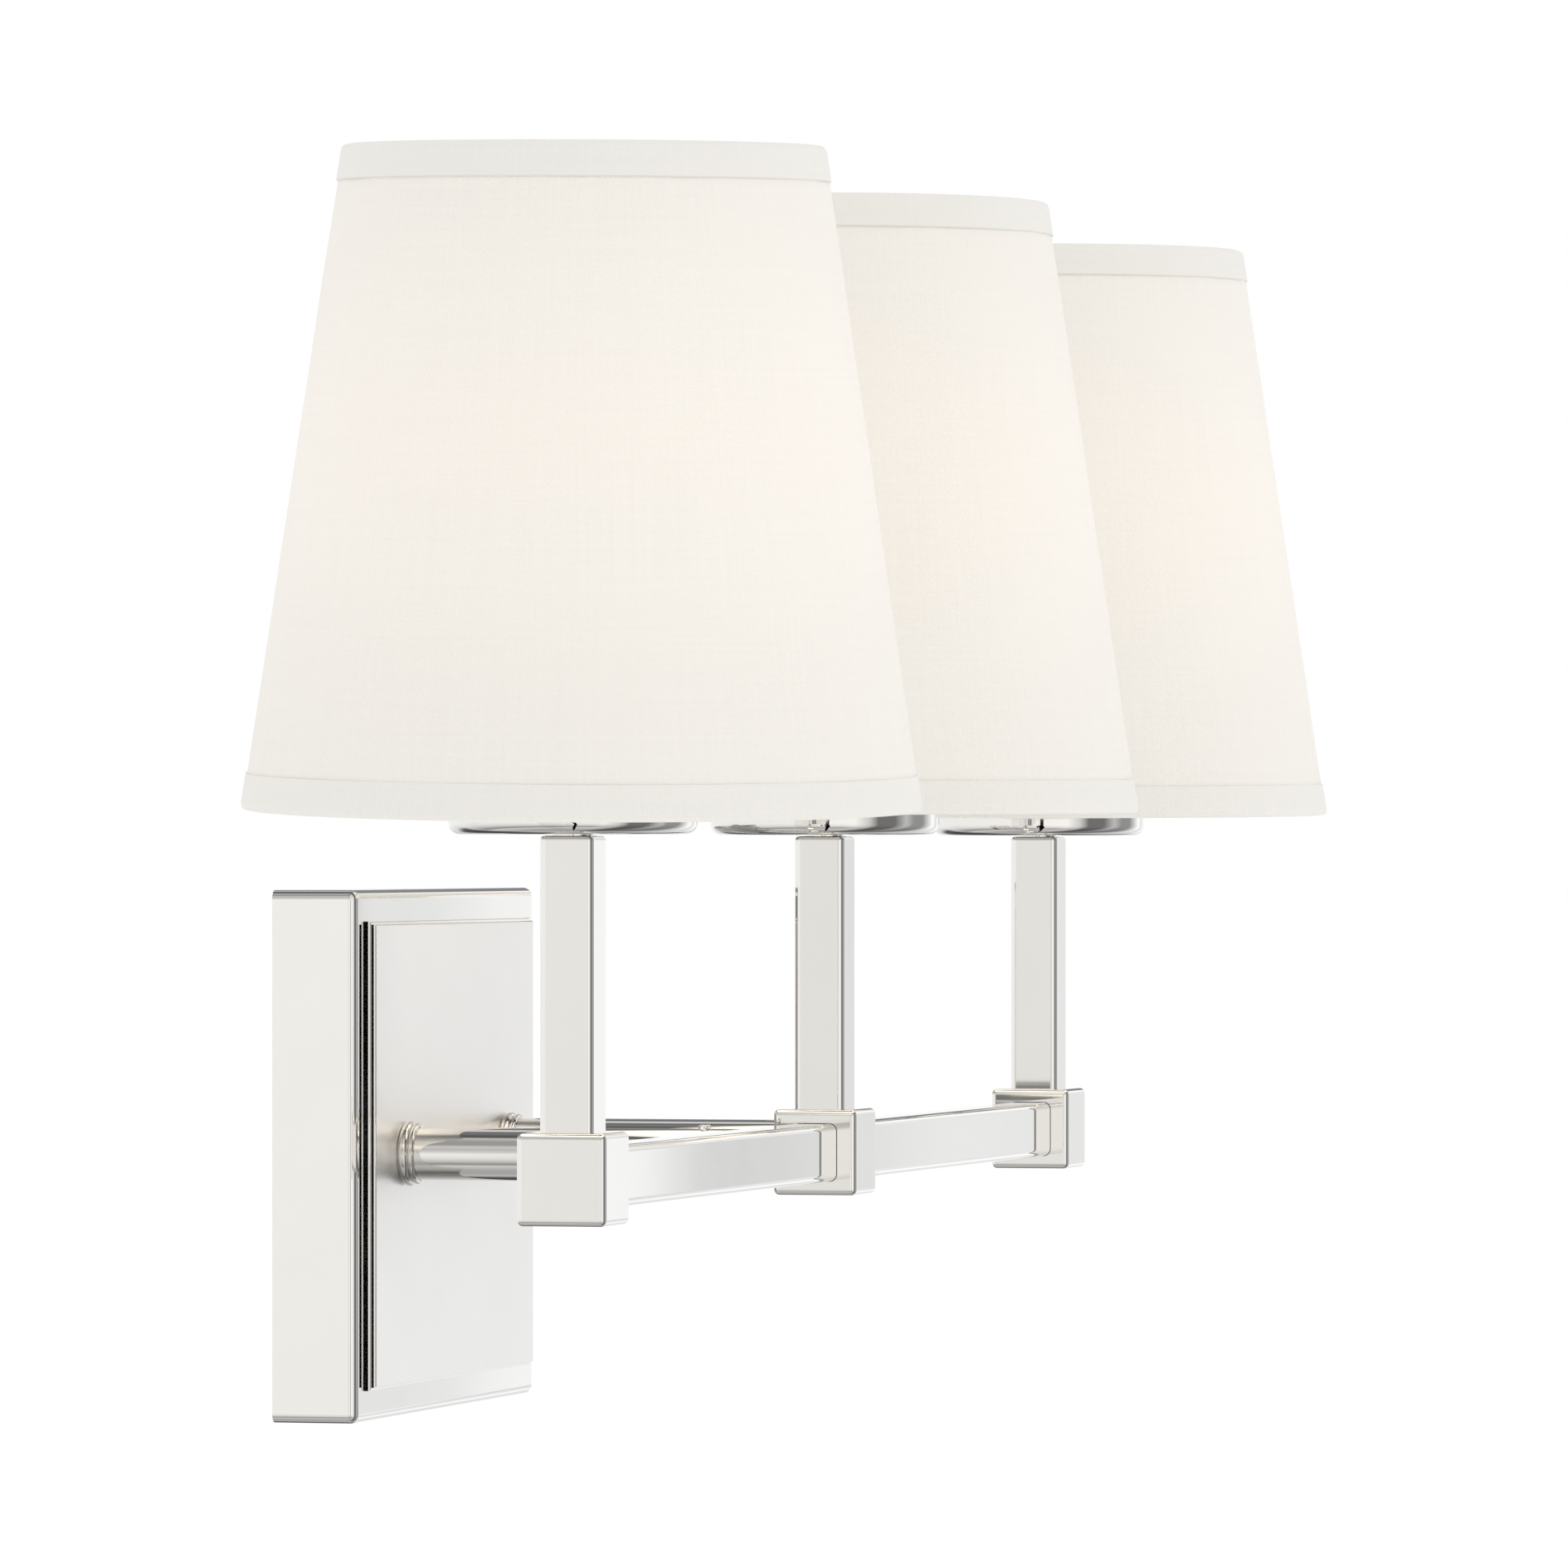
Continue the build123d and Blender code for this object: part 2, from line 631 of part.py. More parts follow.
for name, x in light_x.items():
    outer_low = shade_radius(shade_bottom)
    outer_high = shade_radius(shade_top)
    with BuildPart() as shade_cover:
        with BuildSketch(shade_section(name)):
            with BuildLine():
                Polyline(
                    (outer_low, shade_bottom),
                    (outer_high, shade_top),
                    (outer_high - shade_wall, shade_top),
                    (outer_low - shade_wall, shade_bottom),
                    close=True,
                )
            make_face()
        revolve(axis=shade_axis(name))
    shade_cover.part.label = f"shade_cover_{name}"
    export_step(shade_cover.part, f"parts/shade_cover_{name}.step")

    # Hem bands glued round the outside at both rims.
    with BuildPart() as shade_trim:
        for low in (shade_bottom, shade_top - hem_width):
            high = low + hem_width
            with BuildSketch(shade_section(name)):
                with BuildLine():
                    Polyline(
                        (shade_radius(low), low),
                        (shade_radius(low) + hem_thickness, low),
                        (shade_radius(high) + hem_thickness, high),
                        (shade_radius(high), high),
                        close=True,
                    )
                make_face()
            revolve(axis=shade_axis(name))
    shade_trim.part.label = f"shade_trim_{name}"
    export_step(shade_trim.part, f"parts/shade_trim_{name}.step")

    # Wire rings at both rims. The spider's three spokes are welded to the bottom one.
    top_wire_z = shade_top - wire_inset
    bottom_wire_z = shade_bottom + wire_inset
    top_wire_radius = shade_radius(shade_top) - shade_wall - wire_radius - wire_gap
    bottom_wire_radius = shade_radius(bottom_wire_z + wire_radius) - shade_wall - wire_radius - wire_gap
    with BuildPart() as shade_frame:
        for ring_radius, ring_z in ((top_wire_radius, top_wire_z), (bottom_wire_radius, bottom_wire_z)):
            with BuildSketch(shade_section(name)):
                with Locations((ring_radius, ring_z)):
                    Circle(wire_radius)
            revolve(axis=shade_axis(name))
    shade_frame.part.label = f"shade_frame_{name}"
    export_step(shade_frame.part, f"parts/shade_frame_{name}.step")

    spoke_z = fitter_bottom + fitter_thickness / 2
    wire_rise = Vector(0, 0, wire_inset)
    with BuildPart() as shade_spider:
        with BuildSketch(level_plane(x, fitter_bottom)):
            Circle(fitter_radius)
            Circle(fitter_bore, mode=Mode.SUBTRACT)
        extrude(amount=fitter_thickness)
        for angle in spoke_angles:
            across = Vector(cos(radians(angle)), sin(radians(angle)), 0)
            inner_end = Vector(x, bar_y, spoke_z) + across * (fitter_radius - spoke_overlap)
            outer_end = shade_rim(name).from_local_coords(across * bottom_wire_radius + wire_rise)
            with BuildSketch(Plane(origin=inner_end, z_dir=outer_end - inner_end)):
                Circle(spoke_radius)
            extrude(amount=(outer_end - inner_end).length)
        with BuildSketch(shade_section(name)):
            with Locations((bottom_wire_radius, bottom_wire_z)):
                Circle(wire_radius)
        revolve(axis=shade_axis(name), mode=Mode.SUBTRACT)
    shade_spider.part.label = f"shade_spider_{name}"
    export_step(shade_spider.part, f"parts/shade_spider_{name}.step")

    # Knurled clamp ring that turns on the socket's barrel and holds the shade down.
    with BuildPart() as shade_ring:
        ring_bottom = fitter_bottom + fitter_thickness + clamp_ring_gap
        with BuildSketch(level_plane(x, ring_bottom)):
            Circle(clamp_ring_radius)
            Circle(socket_barrel_radius + clamp_ring_clearance, mode=Mode.SUBTRACT)
            with PolarLocations(clamp_ring_radius + clamp_ring_notch_offset, clamp_ring_notches):
                Circle(clamp_ring_notch_radius, mode=Mode.SUBTRACT)
        extrude(amount=clamp_ring_height)
    shade_ring.part.label = f"shade_ring_{name}"
    export_step(shade_ring.part, f"parts/shade_ring_{name}.step")

# ---------------------------------------------------------------- bulbs


def bulb_outline(inset):
    """Close half of the glass envelope's section: a ball that flows into a neck."""
    ball = bulb_radius - inset
    neck = bulb_neck_radius - inset
    shoulder = radians(bulb_shoulder_angle)
    side = radians(bulb_side_angle)
    shoulder_point = (ball * cos(shoulder), bulb_centre + ball * sin(shoulder))
    side_point = (ball * cos(side), bulb_centre + ball * sin(side))
    neck_top = (neck, bulb_neck_bottom + bulb_neck_length)
    Line((0, bulb_neck_bottom), (neck, bulb_neck_bottom))
    Line((neck, bulb_neck_bottom), neck_top)
    Spline(neck_top, shoulder_point, tangents=[(0, 1), (-sin(shoulder), cos(shoulder))])
    ThreePointArc(shoulder_point, side_point, (0, bulb_centre + ball))
    Line((0, bulb_centre + ball), (0, bulb_neck_bottom))


for name, x in light_x.items():
    with BuildPart() as bulb_glass:
        with BuildSketch(light_section(x)):
            with BuildLine():
                bulb_outline(0.0)
            make_face()
        revolve(axis=light_axis(x))
        with BuildSketch(light_section(x)):
            with BuildLine():
                bulb_outline(bulb_glass_wall)
            make_face()
        revolve(axis=light_axis(x), mode=Mode.SUBTRACT)
    bulb_glass.part.label = f"bulb_glass_{name}"
    export_step(bulb_glass.part, f"parts/bulb_glass_{name}.step")

    # Screw cap with rounded thread crests, an insulator cone and a solder tip.
    with BuildPart() as bulb_base:
        with BuildSketch(light_section(x)):
            with BuildLine():
                thread_root = bulb_cap_radius - thread_depth
                collar_bottom = bulb_cap_top - cap_collar
                neck_seat = bulb_neck_bottom - cap_gap
                Polyline(
                    (0, bulb_tip_bottom),
                    (bulb_tip_radius, bulb_tip_bottom + bulb_tip_edge),
                    (bulb_insulator_radius, bulb_tip_bottom + bulb_insulator_height),
                    (thread_root, bulb_cap_bottom),
                )
                crest = (collar_bottom - bulb_cap_bottom) / thread_turns
                for turn in range(thread_turns):
                    low = bulb_cap_bottom + turn * crest
                    high = low + crest
                    peak = (bulb_cap_radius, low + crest / 2)
                    ThreePointArc((thread_root, low), peak, (thread_root, high))
                Polyline(
                    (thread_root, collar_bottom),
                    (cap_collar_radius, bulb_cap_top - cap_collar_lip),
                    (cap_collar_radius, bulb_cap_top),
                    (bulb_neck_radius + cap_gap, bulb_cap_top),
                    (bulb_neck_radius + cap_gap, neck_seat),
                    (0, neck_seat),
                    (0, bulb_tip_bottom),
                )
            make_face()
        revolve(axis=light_axis(x))
    bulb_base.part.label = f"bulb_base_{name}"
    export_step(bulb_base.part, f"parts/bulb_base_{name}.step")

# ---------------------------------------------------------------- leads

# Each light has a hot lead on the side nearest its arm and a neutral one beyond it.
# They run down the threaded pipe, along the bar, back through the arm and into the canopy.
lead_runs = (
    (light_x["left"], 1, arm_x["left"] - lead_offset, lead_left_y, wire_nut_x),
    (light_x["centre"], -1, arm_x["left"] + lead_offset, lead_centre_y, wire_nut_x),
    (light_x["right"], -1, arm_x["right"], lead_right_y, wire_nut_x + right_lead_shift),
)
for name, sign in (("hot_leads", 1), ("neutral_leads", -1)):
    with BuildPart() as leads:
        for x, towards_arm, through_x, canopy_y, nut_x in lead_runs:
            pipe_x = x + towards_arm * sign * lead_offset
            level = sign * lead_offset
            with BuildLine() as route:
                FilletPolyline(
                    (pipe_x, bar_y, lead_top),
                    (pipe_x, bar_y, level),
                    (through_x, bar_y, level),
                    (through_x, canopy_y, level),
                    (nut_x, canopy_y, level),
                    (nut_x, canopy_y, sign * (wire_nut_mouth + wire_nut_length / 2)),
                    radius=lead_bend,
                )
            with BuildSketch(Plane(origin=route.line @ 0, z_dir=route.line % 0)):
                Circle(lead_radius)
            sweep(path=route.line)
            print(f"{name} {route.wire().length:.0f} mm")
    leads.part.label = name
    export_step(leads.part, f"parts/{name}.step")

# The ground lead runs from the terminal on the right arm to the screw on the bracket.
ground_lead_y = -strap_thickness - lead_radius
ground_lead_z = ground_screw_z - ground_screw_radius - lead_radius - fit_gap
terminal_front_y = terminal_rear_y + lead_radius
with BuildPart() as ground_lead:
    with BuildLine() as ground_route:
        FilletPolyline(
            (arm_x["right"], terminal_front_y, ground_lead_top),
            (arm_x["right"], terminal_front_y, ground_lead_z),
            (arm_x["right"], ground_lead_y, ground_lead_z),
            (ground_lead_end, ground_lead_y, ground_lead_z),
            radius=lead_bend,
        )
    with BuildSketch(Plane(origin=ground_route.line @ 0, z_dir=ground_route.line % 0)):
        Circle(lead_radius)
    sweep(path=ground_route.line)
ground_lead.part.label = "ground_lead"
export_step(ground_lead.part, "parts/ground_lead.step")

# Twist-on connectors where the leads meet in the canopy: hot above, neutral below.
wire_nut_y = lead_right_y
with BuildPart() as wire_nuts:
    for side in (1, -1):
        mouth_x = wire_nut_x + lead_offset
        mouth = Plane(origin=(mouth_x, wire_nut_y, side * wire_nut_mouth), z_dir=(0, 0, side))
        with BuildSketch(mouth):
            Circle(wire_nut_radius)
            with PolarLocations(wire_nut_radius + wire_nut_flute_offset, wire_nut_flutes):
                Circle(wire_nut_flute_radius, mode=Mode.SUBTRACT)
        extrude(amount=wire_nut_length, taper=wire_nut_taper)
        with BuildSketch(mouth):
            Circle(wire_nut_bore)
        extrude(amount=wire_nut_length * wire_nut_bore_share, mode=Mode.SUBTRACT)
wire_nuts.part.label = "wire_nuts"
export_step(wire_nuts.part, "parts/wire_nuts.step")
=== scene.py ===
import math

import bmesh
import bpy
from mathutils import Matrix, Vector, noise


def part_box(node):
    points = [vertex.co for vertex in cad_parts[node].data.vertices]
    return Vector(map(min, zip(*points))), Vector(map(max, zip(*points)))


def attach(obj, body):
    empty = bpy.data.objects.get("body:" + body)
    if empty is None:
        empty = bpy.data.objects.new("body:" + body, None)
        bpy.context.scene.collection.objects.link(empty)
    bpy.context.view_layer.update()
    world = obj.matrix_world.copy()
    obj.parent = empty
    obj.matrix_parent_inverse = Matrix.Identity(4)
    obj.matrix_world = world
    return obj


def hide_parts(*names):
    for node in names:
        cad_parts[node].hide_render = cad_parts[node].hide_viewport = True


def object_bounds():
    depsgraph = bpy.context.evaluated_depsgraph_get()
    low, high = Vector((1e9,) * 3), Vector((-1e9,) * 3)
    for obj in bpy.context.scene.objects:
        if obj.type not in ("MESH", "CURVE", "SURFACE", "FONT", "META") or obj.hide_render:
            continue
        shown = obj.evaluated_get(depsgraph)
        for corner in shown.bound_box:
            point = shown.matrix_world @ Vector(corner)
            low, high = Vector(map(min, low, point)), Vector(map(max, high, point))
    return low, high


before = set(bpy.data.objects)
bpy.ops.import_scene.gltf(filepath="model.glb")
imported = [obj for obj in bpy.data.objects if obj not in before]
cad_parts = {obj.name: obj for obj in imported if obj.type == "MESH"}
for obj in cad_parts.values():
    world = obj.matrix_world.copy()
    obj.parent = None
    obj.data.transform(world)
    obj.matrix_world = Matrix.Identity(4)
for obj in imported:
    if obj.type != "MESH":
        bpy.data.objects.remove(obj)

# Looks of the three-light bath bar: polished nickel, white linen shades and lit bulbs.
# Everything is in metres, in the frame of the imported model.

MM = 0.001
CAD_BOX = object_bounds()
LIGHTS = ("left", "centre", "right")


def centre_of(node):
    """The middle of a CAD node's box at rest."""
    low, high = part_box(node)
    return (Vector(low) + Vector(high)) / 2


# ------------------------------------------------------------------ node helpers


def material(name, **constants):
    """A new node material. Constant values go on the shader's own sockets."""
    made = bpy.data.materials.new(name)
    made.use_nodes = True
    shader = made.node_tree.nodes["Principled BSDF"]
    for socket, value in constants.items():
        shader.inputs[socket.replace("_", " ")].default_value = value
    return made, shader


def node(made, kind, inputs=None, **settings):
    """A node of one material, with its inputs set or linked."""
    tree = made.node_tree
    new = tree.nodes.new("ShaderNode" + kind)
    for key, value in settings.items():
        setattr(new, key, value)
    for key, value in (inputs or {}).items():
        if isinstance(value, bpy.types.NodeSocket):
            tree.links.new(value, new.inputs[key])
        else:
            new.inputs[key].default_value = value
    return new


def sums(made, operation, *values):
    """A math node's result."""
    new = node(made, "Math", operation=operation)
    for i, value in enumerate(values):
        if isinstance(value, bpy.types.NodeSocket):
            made.node_tree.links.new(value, new.inputs[i])
        else:
            new.inputs[i].default_value = value
    return new.outputs[0]


def blend_colours(made, factor, low, high):
    """A colour between two, by a factor socket."""
    new = node(made, "Mix", data_type="RGBA")
    made.node_tree.links.new(factor, new.inputs["Factor"])
    for socket, value in ((new.inputs[6], low), (new.inputs[7], high)):
        if isinstance(value, bpy.types.NodeSocket):
            made.node_tree.links.new(value, socket)
        else:
            socket.default_value = (*value, 1.0)
    return new.outputs[2]


def spread(made, value, low, high, from_low=0.0, from_high=1.0):
    """A value mapped from one range to another."""
    new = node(made, "MapRange", {0: value, 1: from_low, 2: from_high, 3: low, 4: high})
    return new.outputs[0]


def stretched_noise(made, source, scale, detail=3.0):
    """Noise over a vector that is scaled differently along each axis, in turns per metre."""
    mapped = node(made, "Mapping", {"Vector": source, "Scale": scale})
    noisy = node(made, "TexNoise", {"Vector": mapped.outputs[0], "Scale": 1.0, "Detail": detail})
    return noisy.outputs["Fac"]


def scaled(tint, share):
    """A tint with its brightness scaled by a share."""
    return tuple(c * share for c in tint)


def link(made, value, shader, socket):
    made.node_tree.links.new(value, shader.inputs[socket])


def object_position(made):
    return node(made, "TexCoord").outputs["Object"]


def bump(made, shader, height, strength, distance):
    """Relief from a height socket, in metres."""
    new = node(made, "Bump", {"Height": height, "Strength": strength, "Distance": distance})
    link(made, new.outputs[0], shader, "Normal")


# ------------------------------------------------------------------ metals


def metal(name, tint, polish, haze, relief=0.0):
    """A bare or plated metal with faint haze, drawn lines and a slight change of tone."""
    made, shader = material(name, Metallic=1.0, IOR=1.6)
    place = object_position(made)
    cloud = stretched_noise(made, place, (60, 60, 60))
    drawn = stretched_noise(made, place, (90, 90, 2600), detail=2.0)
    deep = scaled(tint, 0.965)
    link(made, blend_colours(made, cloud, deep, tint), shader, "Base Color")
    mixed = sums(made, "ADD", sums(made, "MULTIPLY", cloud, 0.6), sums(made, "MULTIPLY", drawn, 0.4))
    link(made, spread(made, mixed, polish, haze, 0.3, 0.7), shader, "Roughness")
    if relief:
        bump(made, shader, drawn, 0.35, relief)
    return made


# The satin face is taken this deep, and its colour is painted a little brighter than the polished tint of the
# same plating: painted light.
FACE_DEPTH = 0.05 * MM
FACE_PAINTED_LIGHT_GAIN = 1.08


def brushed_face(name, tint, polish, haze, face_y):
    """Plated sheet with a satin face towards the room, at face_y, and polished steps and edges. The face's
    colour is a painted-light brighter copy of the same tint.
    """
    made = metal(name, tint, polish, polish + 0.03)
    shader = made.node_tree.nodes["Principled BSDF"]
    depth = node(made, "SeparateXYZ", {"Vector": object_position(made)}).outputs["Y"]
    flat = sums(made, "LESS_THAN", depth, face_y + FACE_DEPTH)
    edge_value = shader.inputs["Roughness"].links[0].from_socket
    face_value = sums(made, "ADD", edge_value, haze - polish)
    mixed = node(made, "Mix", data_type="FLOAT")
    for socket, value in ((0, flat), (2, edge_value), (3, face_value)):
        made.node_tree.links.new(value, mixed.inputs[socket])
    link(made, mixed.outputs[0], shader, "Roughness")
    edge_tint = shader.inputs["Base Color"].links[0].from_socket
    # Painted light: the face gets a brighter copy of the same nickel tint.
    link(made, blend_colours(made, flat, edge_tint, scaled(tint, FACE_PAINTED_LIGHT_GAIN)), shader, "Base Color")
    return made


def threaded(name, tint, axis, pitch):
    """Plated steel with a rolled screw thread along one axis, its valleys darkened as painted shade."""
    made, shader = material(name, Metallic=1.0, Roughness=0.3)
    place = node(made, "SeparateXYZ", {"Vector": object_position(made)}).outputs[axis]
    wave = sums(made, "SINE", sums(made, "MULTIPLY", place, 2 * math.pi / pitch))
    height = spread(made, wave, 0.0, 1.0, -1.0, 1.0)
    # Painted shade: the thread's valleys are darkened along with the bump.
    link(made, blend_colours(made, height, scaled(tint, 0.45), tint), shader, "Base Color")
    bump(made, shader, height, 1.0, 0.35 * MM)
    return made


# ------------------------------------------------------------------ plastics and glass


def moulding(name, tint, polish, haze, grain=900.0, glow=0.0):
    """A moulded or glazed surface with a fine grain and slight changes of tone, and a painted glow as
    emission when glow is given.
    """
    made, shader = material(name, IOR=1.5)
    place = object_position(made)
    fine = stretched_noise(made, place, (grain, grain, grain))
    cloud = stretched_noise(made, place, (70, 70, 70))
    deep = scaled(tint, 0.93)
    link(made, blend_colours(made, cloud, deep, tint), shader, "Base Color")
    link(made, spread(made, fine, polish, haze, 0.3, 0.7), shader, "Roughness")
    bump(made, shader, fine, 0.4, 0.03 * MM)
    # Painted light: emission standing in for light that falls on the surface.
    if glow:
        shader.inputs["Emission Color"].default_value = (1.0, 0.92, 0.81, 1.0)
        shader.inputs["Emission Strength"].default_value = glow
    return made


def lit_glass(name, light_z, half_height):
    """Frosted bulb glass: brightest at the ball, dimmer down the neck."""
    made, shader = material(name, Roughness=0.45, IOR=1.5)
    place = object_position(made)
    fine = stretched_noise(made, place, (1400, 1400, 1400))
    link(made, blend_colours(made, fine, (0.93, 0.91, 0.87), (0.98, 0.96, 0.93)), shader, "Base Color")
    height = node(made, "SeparateXYZ", {"Vector": place}).outputs["Z"]
    away = sums(made, "ABSOLUTE", sums(made, "SUBTRACT", height, light_z))
    share = spread(made, away, 1.0, 0.25, 0.0, half_height)
    link(made, sums(made, "MULTIPLY", share, 2.4), shader, "Emission Strength")
    shader.inputs["Emission Color"].default_value = (1.0, 0.91, 0.78, 1.0)
    bump(made, shader, fine, 0.3, 0.02 * MM)
    return made


# ------------------------------------------------------------------ cloth


def linen(name, tint, pitch, glow=0.0, bulb_z=0.0, glow_reach=0.05, painted_edge_shadow=None):
    """Plain-weave linen over UVs in metres: threads, thick yarns, sheen, a painted glow for the bulb's light
    through the cloth and an optional painted shadow line along the cloth's edge.
    """
    made, shader = material(name, Roughness=0.85, IOR=1.4, Sheen_Weight=0.25, Sheen_Roughness=0.6)
    flat = node(made, "UVMap", uv_map="cloth").outputs[0]
    across = node(made, "SeparateXYZ", {"Vector": flat})
    turns = 2 * math.pi / pitch
    warp = sums(made, "SINE", sums(made, "MULTIPLY", across.outputs["X"], turns))
    weft = sums(made, "SINE", sums(made, "MULTIPLY", across.outputs["Y"], turns))
    weave = spread(made, sums(made, "MULTIPLY", warp, weft), 0.0, 1.0, -1.0, 1.0)
    upright_yarn = stretched_noise(made, flat, (900, 26, 1), detail=4.0)
    level_yarn = stretched_noise(made, flat, (22, 1100, 1), detail=4.0)
    cloud = stretched_noise(made, flat, (28, 28, 1), detail=3.0)
    yarn = sums(made, "MULTIPLY", sums(made, "ADD", upright_yarn, level_yarn), 0.5)
    deep = scaled(tint, 0.955)
    pale = blend_colours(made, spread(made, yarn, 0.0, 1.0, 0.32, 0.62), deep, tint)
    woven = blend_colours(made, spread(made, weave, 0.0, 0.5), pale, scaled(tint, 0.97))
    toned = blend_colours(made, spread(made, cloud, 0.0, 0.4, 0.35, 0.65), woven, scaled(tint, 0.985))
    # Painted shadow: a darker line along the tape's edge on the cover, where its edge casts shade.
    if painted_edge_shadow is not None:
        near = sums(made, "LESS_THAN", across.outputs["Y"], painted_edge_shadow)
        toned = blend_colours(made, near, toned, scaled(tint, 0.88))
    link(made, toned, shader, "Base Color")
    height = sums(made, "ADD", sums(made, "MULTIPLY", weave, 0.5), sums(made, "MULTIPLY", yarn, 0.8))
    bump(made, shader, height, 0.4, 0.06 * MM)
    # Painted light: the bulb's light through the cloth is a warm emission band round the bulb's rest height;
    # it stays with the shade.
    if glow:
        level = node(made, "SeparateXYZ", {"Vector": object_position(made)}).outputs["Z"]
        away = sums(made, "DIVIDE", sums(made, "SUBTRACT", level, bulb_z), glow_reach)
        fall = sums(made, "POWER", math.e, sums(made, "MULTIPLY", sums(made, "MULTIPLY", away, away), -1.0))
        link(made, sums(made, "MULTIPLY", fall, glow), shader, "Emission Strength")
        shader.inputs["Emission Color"].default_value = (1.0, 0.66, 0.42, 1.0)
    return made


NICKEL_TINT = (0.870, 0.860, 0.842)
NICKEL = metal("polished_nickel", NICKEL_TINT, 0.02, 0.04)
NICKEL_SHEET = metal("polished_nickel_sheet", NICKEL_TINT, 0.025, 0.05)
NICKEL_PANEL = brushed_face("nickel_panel", NICKEL_TINT, 0.02, 0.33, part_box("canopy_panel")[0][1])
# Painted shade: the arm rings are the same nickel with a darker tint, for their darker look.
NICKEL_RING_PAINTED_SHADE = metal("nickel_ring_painted_shade", (0.74, 0.72, 0.69), 0.02, 0.04)
ZINC = metal("zinc_plated_steel", (0.66, 0.66, 0.63), 0.28, 0.42, relief=0.02 * MM)
BRASS = metal("turned_brass", (0.80, 0.62, 0.30), 0.16, 0.30, relief=0.02 * MM)
GREEN_SCREW = metal("green_screw", (0.10, 0.36, 0.14), 0.25, 0.40)
LAMP_CAP = metal("lamp_cap_aluminium", (0.74, 0.74, 0.73), 0.22, 0.34, relief=0.02 * MM)
PIPE_THREAD = threaded("threaded_pipe", (0.66, 0.66, 0.63), "Z", 1.0 * MM)
ARM_THREAD = threaded("threaded_nipple", (0.66, 0.66, 0.63), "Y", 1.0 * MM)
PORCELAIN = moulding("socket_porcelain", (0.90, 0.89, 0.85), 0.18, 0.30)
RING_PLASTIC = moulding("clamp_ring_plastic", (0.88, 0.87, 0.84), 0.35, 0.50)
WHITE_WIRE = moulding("coated_wire", (0.88, 0.88, 0.86), 0.30, 0.45, grain=500.0)
BLACK_LEAD = moulding("black_insulation", (0.035, 0.035, 0.038), 0.40, 0.55)
WHITE_LEAD = moulding("white_insulation", (0.84, 0.84, 0.82), 0.40, 0.55)
GREEN_LEAD = moulding("green_insulation", (0.05, 0.30, 0.10), 0.40, 0.55)
CONNECTOR = moulding("connector_plastic", (0.78, 0.30, 0.06), 0.30, 0.45)
# Painted light: the liner glows by emission, standing in for the bulb's light inside the shade.
LINER = moulding("shade_liner", (0.93, 0.92, 0.89), 0.35, 0.50, grain=400.0, glow=0.30)

CAD_LOOKS = {
    "canopy_shell": NICKEL_SHEET,
    "canopy_panel": NICKEL_PANEL,
    "canopy_screws": NICKEL,
    "arm_left": NICKEL,
    "arm_right": NICKEL,
    "arm_ring_left": NICKEL_RING_PAINTED_SHADE,
    "arm_ring_right": NICKEL_RING_PAINTED_SHADE,
    "arm_set_screws": NICKEL,
    "bar_tube": NICKEL,
    "wall_bracket": ZINC,
    "arm_washers": ZINC,
    "arm_nuts": ZINC,
    "ground_terminal": ZINC,
    "cup_nuts": ZINC,
    "ground_screw": GREEN_SCREW,
    "arm_nipples": ARM_THREAD,
    "threaded_pipes": PIPE_THREAD,
    "arm_stubs": BRASS,
    "cup_washers": NICKEL,
    "socket_contacts": BRASS,
    "hot_leads": BLACK_LEAD,
    "neutral_leads": WHITE_LEAD,
    "ground_lead": GREEN_LEAD,
    "wire_nuts": CONNECTOR,
}
LIGHT_LOOKS = {
    "block": NICKEL,
    "post": NICKEL,
    "cup": NICKEL,
    "socket_body": PORCELAIN,
    "socket_shell": BRASS,
    "shade_frame": WHITE_WIRE,
    "shade_spider": WHITE_WIRE,
    "shade_ring": RING_PLASTIC,
    "bulb_base": LAMP_CAP,
}
for part, look in LIGHT_LOOKS.items():
    for name in LIGHTS:
        CAD_LOOKS[f"{part}_{name}"] = look

glass_low, glass_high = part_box("bulb_glass_centre")
BULB_Z = glass_high[2] - (glass_high[0] - glass_low[0]) / 2
FROSTED = lit_glass("frosted_glass", BULB_Z, BULB_Z - glass_low[2])
for name in LIGHTS:
    CAD_LOOKS[f"bulb_glass_{name}"] = FROSTED


def dress(cad_object, look):
    """Put one material on every slot of a CAD node."""
    for place in cad_object.material_slots:
        place.material = look
    if not cad_object.material_slots:
        cad_object.data.materials.append(look)


for name, look in CAD_LOOKS.items():
    dress(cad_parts[name], look)

# ------------------------------------------------------------------ shades

FABRIC = 0.4 * MM
LINER_WALL = 0.5 * MM
TAPE = 0.3 * MM
HEM_WIDTH = 7.2 * MM
SEAM_LAP = 9 * MM
SEAM_RISE = 0.35 * MM
SEAM_EASE = 3 * MM
SEAM_ANGLE = math.radians(90)
AROUND = 240
WIRE_RADIUS = 1.2 * MM
WIRE_INSET = 1.4 * MM
COVER_WALL = 1.0 * MM


def rims(light):
    """The middle and the outer radius of a CAD cover's bottom and top rims."""
    points = [v.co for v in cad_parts[f"shade_cover_{light}"].data.vertices]
    up = Vector((0, 0, 1))
    for margin in (8 * MM, 3 * MM, 0.5 * MM, 0.1 * MM):
        found = []
        for way in (-1, 1):
            edge = max(way * p.dot(up) for p in points)
            rim = [p for p in points if way * p.dot(up) > edge - margin]
            low = Vector([min(p[i] for p in rim) for i in range(3)])
            high = Vector([max(p[i] for p in rim) for i in range(3)])
            middle = (low + high) / 2
            found.append((middle, max((p - middle).length for p in rim)))
        up = (found[1][0] - found[0][0]).normalized()
    return found


